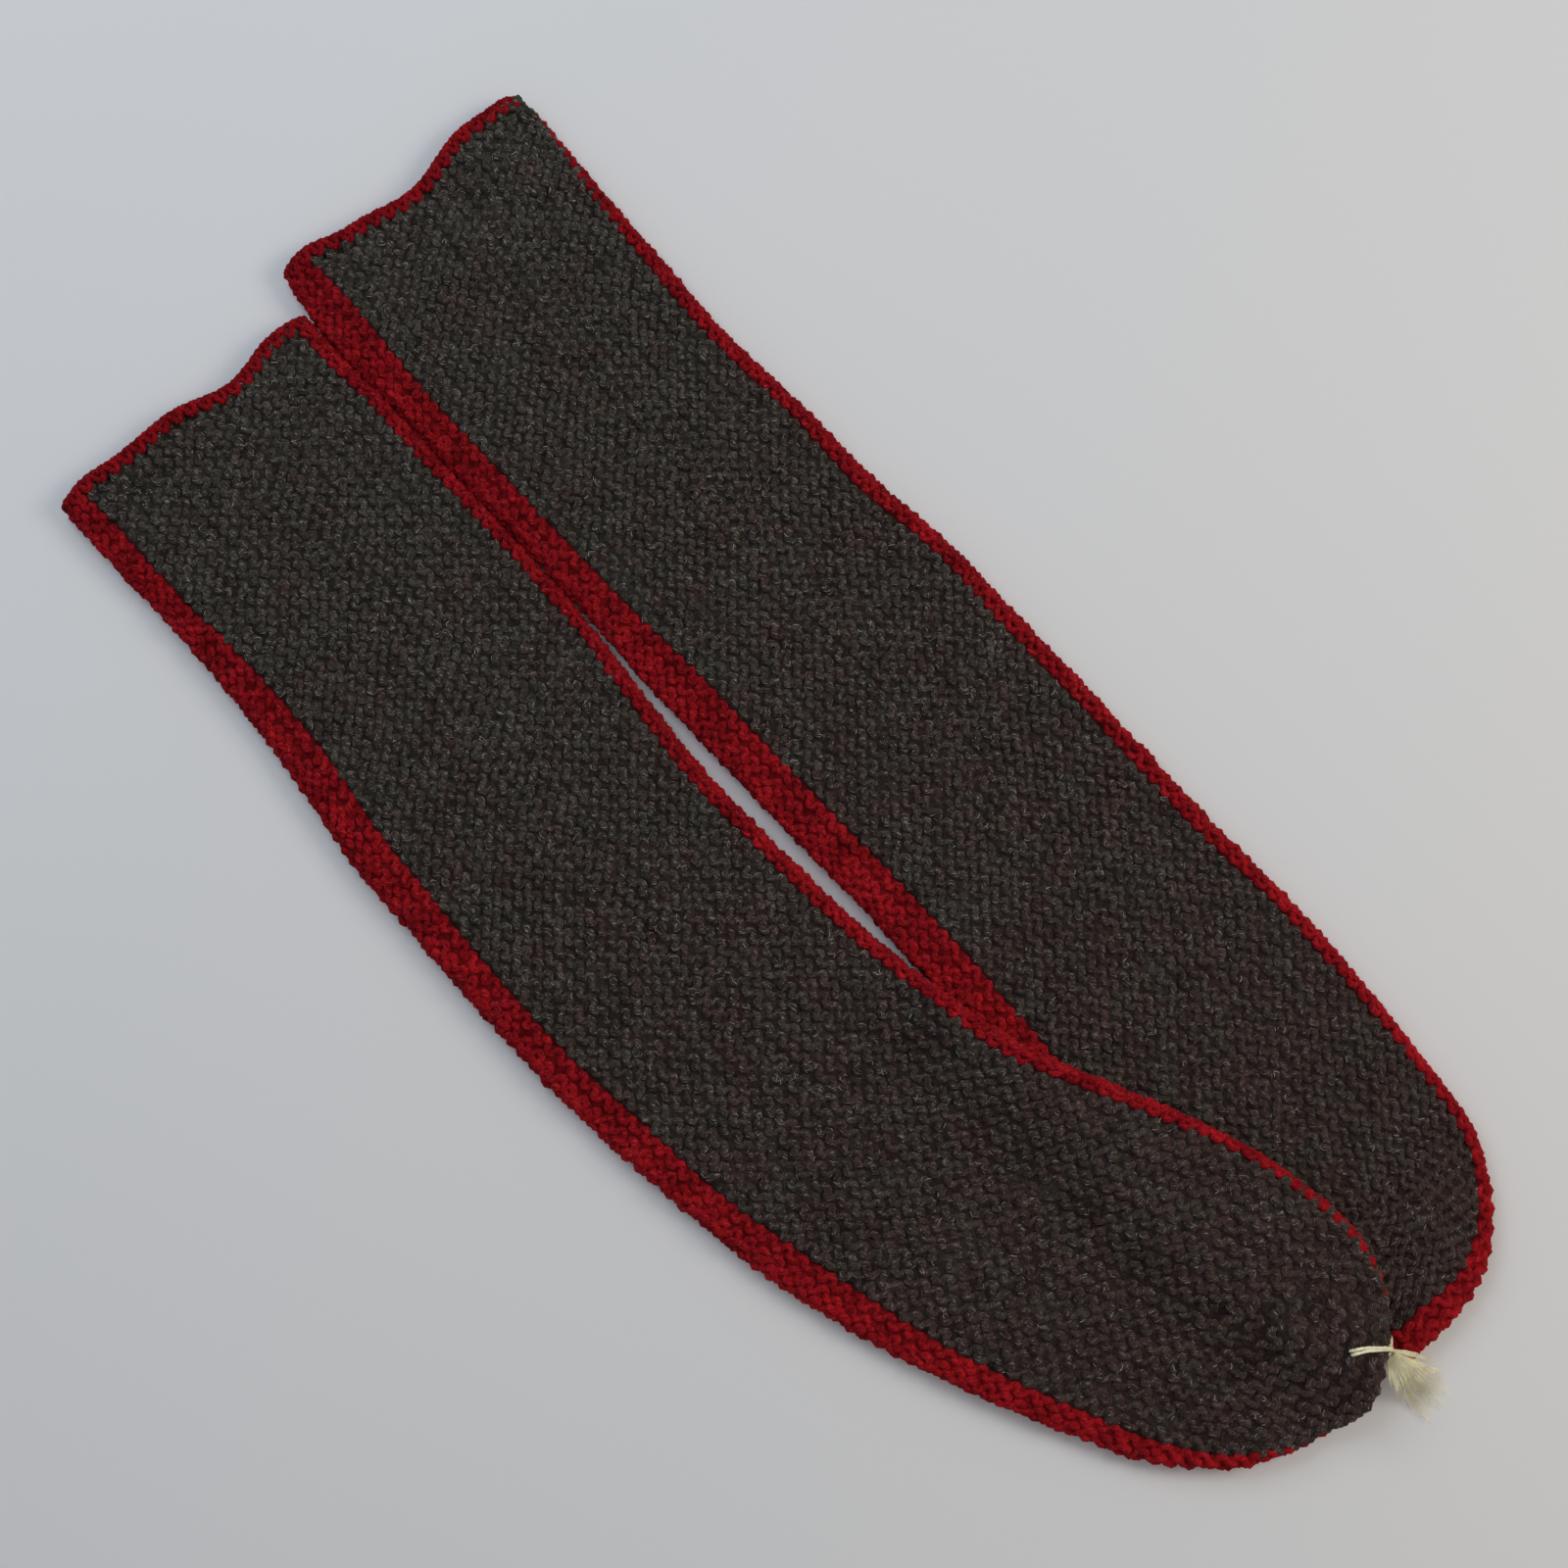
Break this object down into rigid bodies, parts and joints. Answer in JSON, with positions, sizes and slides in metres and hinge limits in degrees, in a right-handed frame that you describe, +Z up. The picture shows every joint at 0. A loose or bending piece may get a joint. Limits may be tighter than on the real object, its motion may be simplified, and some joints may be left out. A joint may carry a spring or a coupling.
{
  "type": "pair of slipper socks",
  "caption": "Pair of long hand-knitted garter-stitch slipper socks laid flat side by side, red seam bands and cuff edging, toes tied together.",
  "frame": {"origin": "on the surface the pair lies on, under the middle of the pair's box", "axes": "+X along the socks from cuff to toe, +Y from the near sock to the far one, +Z up off the surface"},
  "size_m": [0.4441, 0.1935, 0.0161],
  "materials": {
    "far_sock_front": "heathered grey-brown wool, garter knit",
    "far_sock_back": "dark red wool, garter knit",
    "far_sock_cuff_edging": "dark red wool, bound edge",
    "near_sock_front": "heathered grey-brown wool, garter knit",
    "near_sock_back": "dark red wool, garter knit",
    "near_sock_cuff_edging": "dark red wool, bound edge",
    "toe_tie": "cream cotton thread, frayed"
  },
  "bodies": {
    "root": {"far_sock_front": "far_sock_front", "far_sock_back": "far_sock_back", "far_sock_cuff_edging": "far_sock_cuff_edging", "near_sock_front": "near_sock_front", "near_sock_back": "near_sock_back", "near_sock_cuff_edging": "near_sock_cuff_edging", "toe_tie": "toe_tie"}
  },
  "joints": []
}
